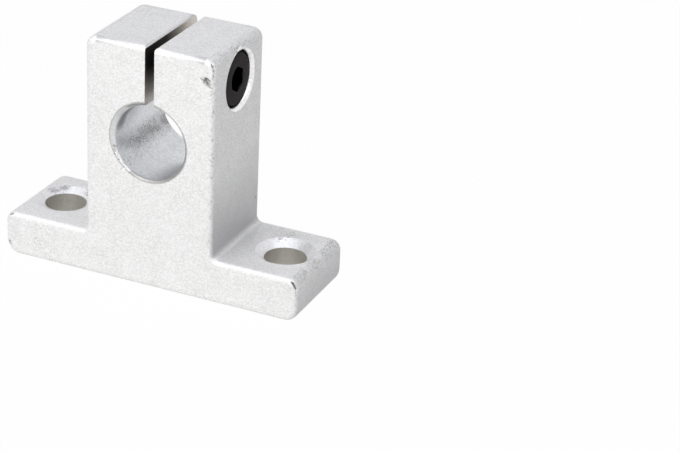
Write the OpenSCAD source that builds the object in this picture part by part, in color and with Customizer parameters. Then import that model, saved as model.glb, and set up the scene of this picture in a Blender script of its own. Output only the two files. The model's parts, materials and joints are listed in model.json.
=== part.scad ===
// Flanged shaft support block with a split clamp.
//
// One piece of aluminium: a flat base with two screw holes and an upright with
// a bore for a round guide shaft. The upright is split above the bore, and a
// socket-head screw across the split draws its two ears together on the shaft.
//
// Origin: middle of the base's underside. +X runs along the base, towards the
// clamp screw's head, +Y runs along the shaft and +Z is up.
// All sizes are in millimetres.

/* [Base] */
// Length of the base
base_l = 42; // [41:0.5:60]
// Height of the base
base_h = 6; // [5:0.5:9]
// Distance between the centres of the two mounting holes
hole_pitch = 32; // [31:0.5:33]
// Diameter of a mounting hole
hole_d = 5.5; // [3:0.1:6]
// Diameter of a mounting hole's countersink where it meets the base's top
sink_d = 7.8; // [6:0.1:8]
// Depth of the countersink at the left, in -X
left_sink_deep = 0.6; // [0.4:0.1:1.2]
// Depth of the countersink at the right, in +X
right_sink_deep = 0.9; // [0.4:0.1:1.2]

/* [Upright] */
// Thickness of the whole block along the shaft
body_t = 14; // [11:0.5:24]
// Width of the upright
post_w = 18; // [17:0.5:21]
// Height of the shaft's axis above the underside
shaft_h = 20; // [16:0.5:40]
// Height of the upright's top above the shaft's axis
top_rise = 12.8; // [12.6:0.1:20]

/* [Shaft bore and split] */
// Diameter of the shaft bore
bore_d = 10; // [5:0.1:11]
// Depth of the lead-in chamfer at the bore's front mouth
front_lead_in = 0.2; // [0.1:0.1:1]
// Depth of the lead-in chamfer at the bore's back mouth
back_lead_in = 0.6; // [0.1:0.1:1]
// Width of the saw cut above the bore
slot_w = 1.3; // [0.6:0.1:2.5]
// Radius on the saw cut's two top edges
slot_edge_r = 0.3; // [0.1:0.1:0.8]

/* [Clamp screw] */
// Height of the screw's axis above the shaft's axis
screw_rise = 8; // [7.8:0.1:8.5]
// Diameter over the screw's thread
thread_d = 3.9; // [2.5:0.1:4.1]
// Length of the screw under its head
screw_l = 12; // [9:0.5:12.4]
// Diameter of the screw's head
head_d = 7; // [5.5:0.1:7.4]
// Height of the screw's head
head_h = 4; // [2.5:0.1:5]
// Width across the flats of the hexagon socket
socket_af = 3; // [1.5:0.1:3.5]
// Depth of the hexagon socket's flat walls
socket_deep = 2; // [1:0.1:2.2]
// Chamfer on the head's outer edge and on the screw's tip
screw_edge = 0.4; // [0.1:0.1:0.6]

/* [Fits] */
// How far the head's top lies below the upright's side
head_sunk = 0.4; // [0:0.1:1]
// Gap all round the head in its counterbore
head_gap = 0.5; // [0.1:0.05:0.6]
// Gap all round the screw in the ear under its head
shank_gap = 0.3; // [0.1:0.05:0.5]
// Gap all round the screw in the tapped ear
thread_gap = 0.05; // [0.02:0.01:0.1]
// Countersink at the tapped hole's open end
tap_sink = 0.4; // [0.1:0.1:0.8]
// Chamfer at the mouth of the counterbore and under the mounting holes
hole_edge = 0.2; // [0.1:0.1:0.4]

/* [Edges] */
// Radius of the base's two bottom corners, seen along the shaft
base_low_r = 1.9; // [1.3:0.1:2.9]
// Radius of the base's two top corners, seen along the shaft
base_top_r = 1.5; // [1.3:0.1:2]
// Radius of the upright's two top corners, seen along the shaft
post_top_r = 1.4; // [1.3:0.1:3]
// Radius in the corners between the base and the upright
inner_r = 0.8; // [0.4:0.1:2]
// Radius along the edges of the front
front_edge_r = 0.6; // [0.1:0.05:1.2]
// Radius along the edges of the back
back_edge_r = 1.2; // [0.1:0.05:1.2]

/* [Hidden] */
$fn = 96;

// How far a cut runs past the face that it opens
over = 1;

// Heights above the underside
body_h = shaft_h + top_rise;
screw_h = shaft_h + screw_rise;

// The screw's stations along X, from the side of the upright inwards
head_x = post_w / 2 - head_sunk;
seat_x = head_x - head_h;
tip_x = seat_x - screw_l;

// Holes that take the screw
counterbore_d = head_d + 2 * head_gap;
clear_d = thread_d + 2 * shank_gap;
tap_d = thread_d + 2 * thread_gap;

// Circle through the corners of the hexagon socket
socket_d = socket_af / cos(30);

// Corners of the block seen along the shaft, counterclockwise from the low
// right one. The third number is the corner's radius.
corners = [
    [base_l / 2, 0, base_low_r],
    [base_l / 2, base_h, base_top_r],
    [post_w / 2, base_h, inner_r],
    [post_w / 2, body_h, post_top_r],
    [-post_w / 2, body_h, post_top_r],
    [-post_w / 2, base_h, inner_r],
    [-base_l / 2, base_h, base_top_r],
    [-base_l / 2, 0, base_low_r]
];

// Corner i, where the corner after the last is the first again
function corner(i) = corners[(i + len(corners)) % len(corners)];

function corner_place(i) = [corner(i)[0], corner(i)[1]];

function corner_r(i) = corner(i)[2];

// The side that runs from corner i to the next one
function side(i) = corner_place(i + 1) - corner_place(i);

// Its direction, as an angle. The block lies on its left.
function heading(i) = atan2(side(i)[1], side(i)[0]);

// Whether the block sticks out at corner i. It doesn't between the base and
// the upright.
function sticks_out(i) = sin(heading(i) - heading(i - 1)) > 0;

// What a round of radius r takes off a square corner. The corner is at the
// origin, the material lies towards +X and +Y, and the cut starts outside it.
module corner_nick(r, outside = over) {
    difference() {
        translate([-outside, -outside]) square(r + outside);
        translate([r, r]) circle(r);
    }
}

// Puts children at corner i, with X along the side that leaves it.
module at_corner(i) {
    translate(corner_place(i)) rotate(heading(i)) children();
}

// The block seen along the shaft, with all its corners rounded.
module block_outline() {
    difference() {
        union() {
            polygon([for (i = [0 : len(corners) - 1]) corner_place(i)]);
            for (i = [0 : len(corners) - 1])
                if (!sticks_out(i))
                    at_corner(i) mirror([0, 1]) corner_nick(corner_r(i));
        }
        for (i = [0 : len(corners) - 1])
            if (sticks_out(i))
                at_corner(i) corner_nick(corner_r(i));
    }
}

// Rounding of radius edge_r on the edge above side i, between its two corners.
// The face is at z = 0 and the material lies above it.
module side_rounding(i, edge_r) {
    at_corner(i)
        translate([corner_r(i), 0, 0])
            rotate([90, 0, 90])
                linear_extrude(norm(side(i)) - corner_r(i) - corner_r(i + 1))
                    corner_nick(edge_r);
}

// Rounding of the same edge where it turns round corner i.
module corner_rounding(i, edge_r) {
    r = corner_r(i);
    at_corner(i)
        if (sticks_out(i))
            translate([r, r, 0]) rotate(180)
                rotate_extrude(angle = 90)
                    translate([r, 0]) mirror([1, 0]) corner_nick(edge_r);
        else
            translate([r, -r, 0]) rotate(90)
                rotate_extrude(angle = 90)
                    translate([r, 0]) corner_nick(edge_r, r / 2);
}

// Rounding that follows the whole outline of the back face, or of the front
// one once it is mirrored.
module face_rounding(edge_r) {
    translate([0, body_t / 2, 0]) rotate([90, 0, 0])
        for (i = [0 : len(corners) - 1]) {
            side_rounding(i, edge_r);
            corner_rounding(i, edge_r);
        }
}

// The solid block before anything is drilled or sawn.
module blank() {
    difference() {
        rotate([90, 0, 0])
            linear_extrude(body_t, center = true) block_outline();
        face_rounding(back_edge_r);
        mirror([0, 1, 0]) face_rounding(front_edge_r);
    }
}

// Lead-in chamfer at one mouth of the bore, which lies along Z here.
module lead_in(deep) {
    translate([0, 0, body_t / 2 - deep])
        cylinder(h = deep + over,
                 r1 = bore_d / 2,
                 r2 = bore_d / 2 + deep + over);
}

// Bore for the shaft, with a lead-in at both mouths.
module shaft_bore() {
    translate([0, 0, shaft_h]) rotate([90, 0, 0]) {
        cylinder(h = body_t + 2 * over, d = bore_d, center = true);
        lead_in(front_lead_in);
        mirror([0, 0, 1]) lead_in(back_lead_in);
    }
}

// Saw cut from the bore's axis up through the top, with rounded top edges.
module saw_cut() {
    rotate([90, 0, 0]) linear_extrude(body_t + 2 * over, center = true) {
        translate([-slot_w / 2, shaft_h])
            square([slot_w, top_rise + over]);
        for (end = [0, 1]) mirror([end, 0])
            translate([slot_w / 2, body_h]) mirror([0, 1])
                corner_nick(slot_edge_r);
    }
}

// Counterbore, clearance hole and tapped hole, on one axis across the split.
module screw_holes() {
    translate([0, 0, screw_h]) rotate([0, 90, 0]) {
        translate([0, 0, seat_x])
            cylinder(h = post_w / 2 - seat_x + over, d = counterbore_d);
        translate([0, 0, post_w / 2 - hole_edge])
            cylinder(h = hole_edge + over,
                     r1 = counterbore_d / 2,
                     r2 = counterbore_d / 2 + hole_edge + over);
        cylinder(h = seat_x + over, d = clear_d);
        translate([0, 0, -post_w / 2 - over])
            cylinder(h = post_w / 2 + over, d = tap_d);
        translate([0, 0, -post_w / 2 - over])
            cylinder(h = tap_sink + over,
                     r1 = tap_d / 2 + tap_sink + over,
                     r2 = tap_d / 2);
    }
}

// One mounting hole through the base, countersunk from above.
module mounting_hole(sink_deep) {
    flare = (sink_d - hole_d) / 2 / sink_deep;
    translate([0, 0, -over])
        cylinder(h = base_h + 2 * over, d = hole_d);
    translate([0, 0, -over])
        cylinder(h = hole_edge + over,
                 r1 = hole_d / 2 + hole_edge + over,
                 r2 = hole_d / 2);
    translate([0, 0, base_h - sink_deep])
        cylinder(h = sink_deep + over,
                 r1 = hole_d / 2,
                 r2 = sink_d / 2 + flare * over);
}

module block() {
    color([0.84, 0.85, 0.86])
        difference() {
            blank();
            shaft_bore();
            saw_cut();
            screw_holes();
            translate([-hole_pitch / 2, 0, 0]) mounting_hole(left_sink_deep);
            translate([hole_pitch / 2, 0, 0]) mounting_hole(right_sink_deep);
        }
}

// Half section of the screw, turned about its axis. Its height is X here.
module screw_section() {
    polygon([
        [0, tip_x],
        [thread_d / 2 - screw_edge, tip_x],
        [thread_d / 2, tip_x + screw_edge],
        [thread_d / 2, seat_x],
        [head_d / 2, seat_x],
        [head_d / 2, head_x - screw_edge],
        [head_d / 2 - screw_edge, head_x],
        [0, head_x]
    ]);
}

// Hexagon socket with two corners upright and a drilled point at its foot.
module socket_cut() {
    point_deep = socket_af / 2 * tan(30);
    translate([0, 0, head_x - socket_deep])
        cylinder(h = socket_deep + over, d = socket_d, $fn = 6);
    translate([0, 0, head_x - socket_deep - point_deep])
        cylinder(h = point_deep + over / 10, r1 = 0,
                 r2 = socket_af / 2 + over / 10 / tan(30));
}

module clamp_screw() {
    color([0.09, 0.085, 0.09])
        translate([0, 0, screw_h]) rotate([0, 90, 0])
            difference() {
                rotate_extrude() screw_section();
                socket_cut();
            }
}

block();
clamp_screw();
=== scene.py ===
"""Looks for a flanged shaft support block with a split clamp and its screw.

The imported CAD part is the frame, and three pieces are built on it:

* the block, a fine copy of its CAD solid that carries shot-blast relief,
  rubbed edges and knocks, with each machined face in a finish of its own,
* the thread in the block's tapped hole,
* the clamp screw, with its rolled thread, knurled head and hexagon socket.

Lengths are in metres. A value written with MM is in millimetres, and so are
the places of rings, knocks and strips.
"""

import json
import logging
import math
from collections.abc import Iterable, Sequence
from dataclasses import KW_ONLY, dataclass
from enum import Enum

import bmesh
import bpy
import numpy as np
from mathutils import Matrix, Quaternion, Vector, noise


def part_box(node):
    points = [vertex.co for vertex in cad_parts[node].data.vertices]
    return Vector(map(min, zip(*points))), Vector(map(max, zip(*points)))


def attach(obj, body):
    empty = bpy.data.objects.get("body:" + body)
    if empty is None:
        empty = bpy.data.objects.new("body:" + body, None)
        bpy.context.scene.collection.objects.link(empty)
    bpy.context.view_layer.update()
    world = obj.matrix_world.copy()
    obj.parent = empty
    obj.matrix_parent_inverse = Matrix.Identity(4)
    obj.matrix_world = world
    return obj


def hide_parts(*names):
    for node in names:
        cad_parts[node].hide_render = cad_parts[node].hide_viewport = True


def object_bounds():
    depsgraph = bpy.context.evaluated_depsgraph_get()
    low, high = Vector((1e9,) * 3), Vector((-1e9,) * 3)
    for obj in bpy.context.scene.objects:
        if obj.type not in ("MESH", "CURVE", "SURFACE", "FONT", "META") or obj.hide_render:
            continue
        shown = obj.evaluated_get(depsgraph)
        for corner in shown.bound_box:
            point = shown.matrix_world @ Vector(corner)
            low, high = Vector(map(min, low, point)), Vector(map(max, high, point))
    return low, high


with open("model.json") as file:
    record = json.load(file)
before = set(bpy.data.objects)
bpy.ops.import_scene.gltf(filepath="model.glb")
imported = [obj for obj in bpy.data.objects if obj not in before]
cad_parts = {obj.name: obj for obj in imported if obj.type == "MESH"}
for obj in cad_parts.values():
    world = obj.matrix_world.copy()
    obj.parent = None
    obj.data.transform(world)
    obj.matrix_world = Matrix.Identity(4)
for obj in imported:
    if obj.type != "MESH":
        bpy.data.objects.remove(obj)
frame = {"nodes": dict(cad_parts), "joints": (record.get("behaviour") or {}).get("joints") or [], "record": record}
CAD_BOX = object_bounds()

MM = 0.001
WELD = 1e-7  # points nearer than this are one

BMesh = bmesh.types.BMesh
Material = bpy.types.Material
Mesh = bpy.types.Mesh
Node = bpy.types.Node
Piece = bpy.types.Object
Socket = bpy.types.NodeSocket
Tree = bpy.types.NodeTree
Term = Socket | bpy.types.ID | float | Sequence[float]
Colour = tuple[float, float, float]
Place = tuple[float, float, float]

WHITE: Colour = (1.0, 1.0, 1.0)

log = logging.getLogger("support_block")


class Axis(Enum):
    """An axis of the frame, with the axes that come after it."""

    X = (0, 1, 2)
    Y = (1, 2, 0)
    Z = (2, 0, 1)


class Face(Enum):
    """How a face of the block is made. The value is its number in the mesh."""

    BLASTED = 0
    BORED = 1
    COUNTERBORED = 2
    DRILLED = 3
    SAWN = 4
    CHAMFERED = 5


# ---------------------------------------------------------------- Node trees


@dataclass(frozen=True)
class Port:
    """One named input or output of a node group."""

    name: str
    kind: str = "NodeSocketFloat"
    default: float | None = None


VECTOR = Port("Vector", "NodeSocketVector")
GEOMETRY = Port("Geometry", "NodeSocketGeometry")
FINISH = Port("Finish", "NodeSocketMaterial")


class NodeSheet:
    """Adds nodes to one tree and wires them, for shaders and for geometry."""

    def __init__(self, tree: Tree) -> None:
        """Takes the tree that the nodes go into."""
        self.tree = tree

    def node(
        self, kind: str, inputs: dict[str | int, Term] | None = None, **settings: object
    ) -> Node:
        """Adds one node.

        Args:
            kind: The node's type, as Blender names it.
            inputs: What goes into its sockets, by name or by place.
            **settings: Its other properties.

        Returns:
            The new node.
        """
        node = self.tree.nodes.new(kind)
        for name, value in settings.items():
            setattr(node, name, value)
        self.feed(node.inputs, inputs or {})
        return node

    def feed(
        self, sockets: bpy.types.NodeInputs, inputs: dict[str | int, Term]
    ) -> None:
        """Links each input to its socket if it is one itself, and else sets it.

        Args:
            sockets: The inputs of a node.
            inputs: What goes into them, by name or by place.
        """
        for key, term in inputs.items():
            socket = sockets[key]
            if isinstance(term, Socket):
                self.tree.links.new(term, socket)
            elif socket.type == "RGBA":
                socket.default_value = (*term, 1.0)
            else:
                socket.default_value = term

    def add(
        self,
        kind: str,
        inputs: dict[str | int, Term] | None = None,
        out: str | int = 0,
        **settings: object,
    ) -> Socket:
        """Adds one node and gives one output of it.

        Args:
            kind: The node's type, as Blender names it.
            inputs: What goes into its sockets, by name or by place.
            out: The output, by name or by place.
            **settings: Its other properties.

        Returns:
            The output.
        """
        return self.node(kind, inputs, **settings).outputs[out]

    def math(self, operation: str, *terms: Term) -> Socket:
        """Result of a Math node on one, two or three terms."""
        return self.add("ShaderNodeMath", dict(enumerate(terms)), operation=operation)

    def times(self, first: Term, second: Term) -> Socket:
        """The product of two numbers."""
        return self.math("MULTIPLY", first, second)

    def equals(self, value: Term, wanted: int) -> Socket:
        """1 where a whole number is the wanted one, else 0."""
        return self.math("COMPARE", value, float(wanted), 0.1)

    def vector(self, operation: str, *terms: Term, out: str = "Vector") -> Socket:
        """Result of a Vector Math node on one or two vectors."""
        inputs = dict(enumerate(terms))
        return self.add("ShaderNodeVectorMath", inputs, out, operation=operation)

    def scaled(self, vector: Term, factor: Term) -> Socket:
        """The vector made factor times as long."""
        inputs = {0: vector, "Scale": factor}
        return self.add("ShaderNodeVectorMath", inputs, operation="SCALE")

    def counted(self, vector: Term, size: Term) -> Socket:
        """The vector counted in steps of size."""
        return self.scaled(vector, self.math("DIVIDE", 1.0, size))

    def rise(self, value: Term, low: float, high: float) -> Socket:
        """A smooth step from 0 to 1 while value goes from low to high."""
        inputs = {"Value": value, "From Min": low, "From Max": high}
        return self.add(
            "ShaderNodeMapRange", inputs, interpolation_type="SMOOTHSTEP"
        )

    def noise(self, vector: Term, scale: float, detail: float) -> Socket:
        """Noise from 0 to 1 with one lump in about 1 / scale of the vector."""
        inputs = {"Vector": vector, "Scale": scale, "Detail": detail}
        return self.add("ShaderNodeTexNoise", inputs)

    def mix(self, share: Term, first: Term, second: Term) -> Socket:
        """Number between first and second, by share."""
        return self.add("ShaderNodeMix", {0: share, 2: first, 3: second})

    def tint(self, share: Term, first: Term, second: Term) -> Socket:
        """Colour between first and second, by share."""
        inputs = {0: share, 6: first, 7: second}
        return self.add("ShaderNodeMix", inputs, 2, data_type="RGBA")

    def layered(
        self, colour: Term, layers: Iterable[tuple[Term, float, Colour]]
    ) -> Term:
        """Lays tones over a colour, one after the other.

        Args:
            colour: What lies at the bottom.
            layers: Each layer's mask, its strength and its tone.

        Returns:
            The colour on top.
        """
        for mask, strength, tone in layers:
            colour = self.tint(self.times(mask, strength), colour, tone)
        return colour

    def attributes(self, *names: str) -> list[Socket]:
        """The mesh's attributes of these names, for a shader."""
        return [
            self.add("ShaderNodeAttribute", out="Fac", attribute_name=name)
            for name in names
        ]

    def bump(self, height: Term, depth: float, **under: Term) -> Socket:
        """A normal for relief this deep, over the Normal under it if given."""
        inputs = {"Height": height, "Distance": depth, **under}
        return self.add("ShaderNodeBump", inputs)

    def group(self, tree: Tree, inputs: dict[str, Term]) -> bpy.types.NodeOutputs:
        """Places a shader node group.

        Args:
            tree: The group.
            inputs: What goes into it, by name.

        Returns:
            Its outputs.
        """
        node = self.node("ShaderNodeGroup", node_tree=tree)
        self.feed(node.inputs, inputs)
        return node.outputs

    def real(self, geometry: Term) -> Socket:
        """The geometry with its instances made real."""
        return self.add("GeometryNodeRealizeInstances", {0: geometry})

    def painted(self, geometry: Term, finish: Term, where: Term = True) -> Socket:
        """The geometry with a finish on the faces where the selection holds."""
        inputs = {"Geometry": geometry, "Selection": where, "Material": finish}
        return self.add("GeometryNodeSetMaterial", inputs)


class GroupSheet(NodeSheet):
    """A sheet on a new node group, with the group's own sockets."""

    def __init__(
        self, name: str, kind: str, inputs: Sequence[Port], outputs: Sequence[Port]
    ) -> None:
        """Starts the group.

        Args:
            name: The group's name.
            kind: ShaderNodeTree or GeometryNodeTree.
            inputs: Its inputs, in order.
            outputs: Its outputs, in order.
        """
        super().__init__(bpy.data.node_groups.new(name, kind))
        for in_out, ports in (("INPUT", inputs), ("OUTPUT", outputs)):
            for port in ports:
                socket = self.tree.interface.new_socket(
                    name=port.name, in_out=in_out, socket_type=port.kind
                )
                if port.default is not None:
                    socket.default_value = port.default
        self.given = self.node("NodeGroupInput").outputs
        self.result = self.node("NodeGroupOutput").inputs

    def end(self, terms: dict[str, Term]) -> Tree:
        """Feeds the group's outputs and returns its tree."""
        self.feed(self.result, terms)
        return self.tree


# ------------------------------------------ Effects that several finishes share


class Effects:
    """The shader node groups, each built once."""

    def __init__(self) -> None:
        """Builds every group."""
        self.shot_grain = self._shot_grain()
        self.rubbed_edge = self._rubbed_edge()
        self.cutter_marks = self._cutter_marks()
        self.ring_line = self._ring_line()

    @staticmethod
    def _shot_grain() -> Tree:
        """Pits of blasted or tumbled metal.

        Returns:
            A group that gives the pits' Height, a Fleck mask of the few
            darker pits, a Sparkle with a tone of its own for each crystal
            and a slow Cloud, each from 0 to 1.
        """
        sheet = GroupSheet(
            "shot_grain",
            "ShaderNodeTree",
            [VECTOR, Port("Pit Size", default=0.25 * MM)],
            [Port("Height"), Port("Fleck"), Port("Sparkle"), Port("Cloud")],
        )
        place = sheet.counted(sheet.given["Vector"], sheet.given["Pit Size"])
        inputs = {"Vector": place, "Scale": 1.0}
        pits = sheet.node("ShaderNodeTexVoronoi", inputs, feature="F1").outputs
        height = sheet.mix(0.5, pits["Distance"], sheet.noise(place, 1.3, 4.0))
        packed = sheet.times(sheet.noise(place, 1.0, 2.0), sheet.noise(place, 0.3, 1.0))
        tone = sheet.add("ShaderNodeSeparateColor", {0: pits["Color"]})
        cloud = sheet.noise(place, 0.07, 3.0)
        strength = sheet.mix(sheet.rise(cloud, 0.3, 0.7), 0.75, 1.0)
        return sheet.end(
            {
                "Height": height,
                "Fleck": sheet.rise(packed, 0.36, 0.46),
                "Sparkle": sheet.times(tone, strength),
                "Cloud": cloud,
            }
        )

    @staticmethod
    def _rubbed_edge() -> Tree:
        """Wear along edges.

        Returns:
            A group that turns the Edge attribute into a Bright mask, where
            the edge is rubbed smooth, and the Scuff attribute into a Grime
            mask of specks, which lie denser where Scuff is higher.
        """
        sheet = GroupSheet(
            "rubbed_edge",
            "ShaderNodeTree",
            [VECTOR, Port("Edge"), Port("Scuff"), Port("Speck Size", default=0.3 * MM)],
            [Port("Bright"), Port("Grime")],
        )
        scuff = sheet.given["Scuff"]
        place = sheet.counted(sheet.given["Vector"], sheet.given["Speck Size"])
        edge = sheet.rise(sheet.given["Edge"], 0.1, 0.6)
        ragged = sheet.rise(sheet.noise(place, 0.8, 4.0), 0.35, 0.6)
        packed = sheet.math("ADD", sheet.noise(place, 1.1, 3.0), sheet.times(scuff, 0.22))
        patch = sheet.rise(sheet.noise(place, 0.16, 2.0), 0.3, 0.55)
        specks = sheet.times(sheet.rise(packed, 0.6, 0.74), patch)
        there = sheet.rise(scuff, 0.0, 0.25)
        return sheet.end(
            {"Bright": sheet.times(edge, ragged), "Grime": sheet.times(there, specks)}
        )

    @staticmethod
    def _cutter_marks() -> Tree:
        """Marks that a drill, reamer or saw leaves across its feed.

        Returns:
            A group that reads a Vector whose X is the feed and gives the
            marks' Height and a Tone for streaks, each from 0 to 1.
        """
        sheet = GroupSheet(
            "cutter_marks",
            "ShaderNodeTree",
            [VECTOR, Port("Pitch")],
            [Port("Height"), Port("Tone")],
        )
        place = sheet.counted(sheet.given["Vector"], sheet.given["Pitch"])
        along = sheet.vector("MULTIPLY", place, (1.0, 0.05, 0.05))
        height, tone = sheet.noise(along, 0.8, 3.0), sheet.noise(along, 0.12, 2.0)
        return sheet.end({"Height": height, "Tone": tone})

    @staticmethod
    def _ring_line() -> Tree:
        """A thin ragged dark line round a hole's mouth.

        Returns:
            A group that reads a Vector from the hole's centre, square to its
            axis, and gives a Mask of the line that lies on the Radius.
        """
        sheet = GroupSheet(
            "ring_line",
            "ShaderNodeTree",
            [VECTOR, Port("Radius"), Port("Width")],
            [Port("Mask")],
        )
        given = sheet.given
        away = sheet.vector("LENGTH", given["Vector"], out="Value")
        off = sheet.math("ABSOLUTE", sheet.math("SUBTRACT", away, given["Radius"]))
        place = sheet.scaled(given["Vector"], 1.0 / MM)
        ragged = sheet.times(
            sheet.noise(place, 3.0, 3.0), sheet.noise(place, 0.35, 1.0)
        )
        width = sheet.times(given["Width"], sheet.rise(ragged, 0.02, 0.3))
        share = sheet.math("DIVIDE", off, sheet.math("ADD", width, 1e-6))
        line = sheet.math("SUBTRACT", 1.0, sheet.rise(share, 0.5, 1.3))
        return sheet.end({"Mask": line})


# ------------------------------------------------------------------- Finishes


@dataclass(frozen=True)
class Ring:
    """A circle in a face square to Y, in millimetres, with the width of its dark line."""

    centre: Place
    radius: float
    width: float = 0.16

    def line(self, sheet: NodeSheet, effects: Effects, place: Term) -> Socket:
        """Draws the ring's dark line in a material.

        Args:
            sheet: The material's nodes.
            effects: The shared node groups.
            place: Where on the object the shader looks.

        Returns:
            The line's mask.
        """
        offset = sheet.vector("SUBTRACT", place, [c * MM for c in self.centre])
        flat = sheet.vector("MULTIPLY", offset, (1.0, 0.0, 1.0))
        sizes = {"Radius": self.radius * MM, "Width": self.width * MM}
        return sheet.group(effects.ring_line, {"Vector": flat, **sizes})["Mask"]


# The front lead-in, in millimetres: its radius where it opens, and how far it
# ran off the bore's centre in X and in Z.
FRONT_MOUTH, SHIFT_X, SHIFT_Z = 5.12, -0.34, 0.2
MOUTH_RINGS = (
    Ring((0.0, -7.0, 20.0), 5.2),
    Ring((SHIFT_X, -7.0, 20.0 + SHIFT_Z), FRONT_MOUTH, 0.24),
)


def blank_material(name: str) -> tuple[Material, NodeSheet, Node]:
    """Starts a material.

    Args:
        name: Its name.

    Returns:
        The material, its sheet and its Principled BSDF.
    """
    material = bpy.data.materials.new(name)
    material.use_nodes = True
    sheet = NodeSheet(material.node_tree)
    return material, sheet, material.node_tree.nodes["Principled BSDF"]


@dataclass(frozen=True)
class Metal:
    """A finish of bare or treated metal."""

    name: str
    _: KW_ONLY
    metallic: float = 0.7
    roughness: float = 0.4

    def material(self, effects: Effects) -> Material:
        """Builds the material.

        Args:
            effects: The shared node groups.

        Returns:
            The material.
        """
        material, sheet, shader = blank_material(self.name)
        place = sheet.add("ShaderNodeTexCoord", out="Object")
        sheet.feed(shader.inputs, {"Metallic": self.metallic})
        sheet.feed(shader.inputs, self.look(sheet, effects, place))
        return material

    def look(self, sheet: NodeSheet, effects: Effects, place: Term) -> dict[str, Term]:
        """What goes into the shader's inputs.

        Args:
            sheet: The material's nodes.
            effects: The shared node groups.
            place: Where on the object the shader looks.

        Returns:
            The terms, by input.
        """
        raise NotImplementedError


@dataclass(frozen=True)
class BlastedAluminium(Metal):
    """Shot-blasted and clear-anodised aluminium, rubbed along its edges."""

    name: str = "blasted_aluminium_finish"
    metallic: float = 0.35
    roughness: float = 0.52
    colour: Colour = (0.87, 0.87, 0.865)
    fleck_colour: Colour = (0.42, 0.41, 0.39)
    dirt_colour: Colour = (0.12, 0.11, 0.095)
    painted_shade_colour: Colour = (0.5, 0.5, 0.515)
    sparkle: float = 0.43
    cloud: float = 0.03
    fleck: float = 0.22
    grime: float = 0.6
    mouth_line: float = 0.9
    rubbed: float = 0.8
    pit: float = 0.15 * MM
    depth: float = 0.035 * MM

    def look(self, sheet: NodeSheet, effects: Effects, place: Term) -> dict[str, Term]:
        """Painted shade, grain, grime, the dark lines round the mouths and dirty knocks.

        Args:
            sheet: The material's nodes.
            effects: The shared node groups.
            place: Where on the object the shader looks.

        Returns:
            The terms, by input.
        """
        edge, knock, scuff, shade = sheet.attributes("edge", "knock", "scuff", "shade")
        grain = sheet.group(effects.shot_grain, {"Vector": place, "Pit Size": self.pit})
        inputs = {"Vector": place, "Edge": edge, "Scuff": scuff}
        rub = sheet.group(effects.rubbed_edge, inputs)
        mouth_lines = (ring.line(sheet, effects, place) for ring in MOUTH_RINGS)
        layers = [
            # Painted shade on the faces towards +X, darker towards the floor.
            (shade, 1.0, self.painted_shade_colour),
            (grain["Sparkle"], self.sparkle, self.fleck_colour),
            (grain["Cloud"], self.cloud, self.fleck_colour),
            (grain["Fleck"], self.fleck, self.fleck_colour),
            (rub["Grime"], self.grime, self.fleck_colour),
            (sheet.math("MAXIMUM", *mouth_lines), self.mouth_line, self.fleck_colour),
            (knock, 1.0, self.dirt_colour),
        ]
        smooth = self.roughness * self.rubbed
        return {
            "Base Color": sheet.layered(self.colour, layers),
            "Roughness": sheet.mix(rub["Bright"], self.roughness, smooth),
            "Normal": sheet.bump(grain["Height"], self.depth),
        }


@dataclass(frozen=True)
class CutAluminium(Metal):
    """Aluminium as a cutter leaves it, with marks across the cutter's feed."""

    feed: Axis
    colour: Colour
    dark: Colour = (0.34, 0.335, 0.32)
    pitch: float = 0.12 * MM
    relief: float = 0.004 * MM
    streak: float = 0.25
    sparkle: float = 0.25
    speck: float = 0.3 * MM
    uneven: float = 0.15

    def look(self, sheet: NodeSheet, effects: Effects, place: Term) -> dict[str, Term]:
        """Streaks and marks of the cutter, grain, stains that are mostly painted shade and dark reflection, and
        specks.

        Args:
            sheet: The material's nodes.
            effects: The shared node groups.
            place: Where on the object the shader looks.

        Returns:
            The terms, by input.
        """
        parts = sheet.node("ShaderNodeSeparateXYZ", {0: place}).outputs
        turned = {i: parts[axis] for i, axis in enumerate(self.feed.value)}
        along = sheet.add("ShaderNodeCombineXYZ", turned)
        marks = sheet.group(effects.cutter_marks, {"Vector": along, "Pitch": self.pitch})
        grain = sheet.group(effects.shot_grain, {"Vector": place})
        stain_and_shade, scuff = sheet.attributes("stain_and_shade", "scuff")
        inputs = {"Vector": place, "Scuff": scuff, "Speck Size": self.speck}
        rub = sheet.group(effects.rubbed_edge, inputs)
        layers = [
            (marks["Tone"], self.streak, self.dark),
            (grain["Sparkle"], self.sparkle, self.dark),
            # Painted shade and dark reflection from the strips, with some real staining.
            (stain_and_shade, 1.0, self.dark),
            (rub["Grime"], 1.0, self.dark),
        ]
        ends = (self.roughness * (1.0 + side * self.uneven) for side in (-1, 1))
        under = sheet.bump(grain["Height"], self.relief)
        return {
            "Base Color": sheet.layered(self.colour, layers),
            "Roughness": sheet.mix(marks["Tone"], *ends),
            "Normal": sheet.bump(marks["Height"], self.relief, Normal=under),
        }


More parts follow.
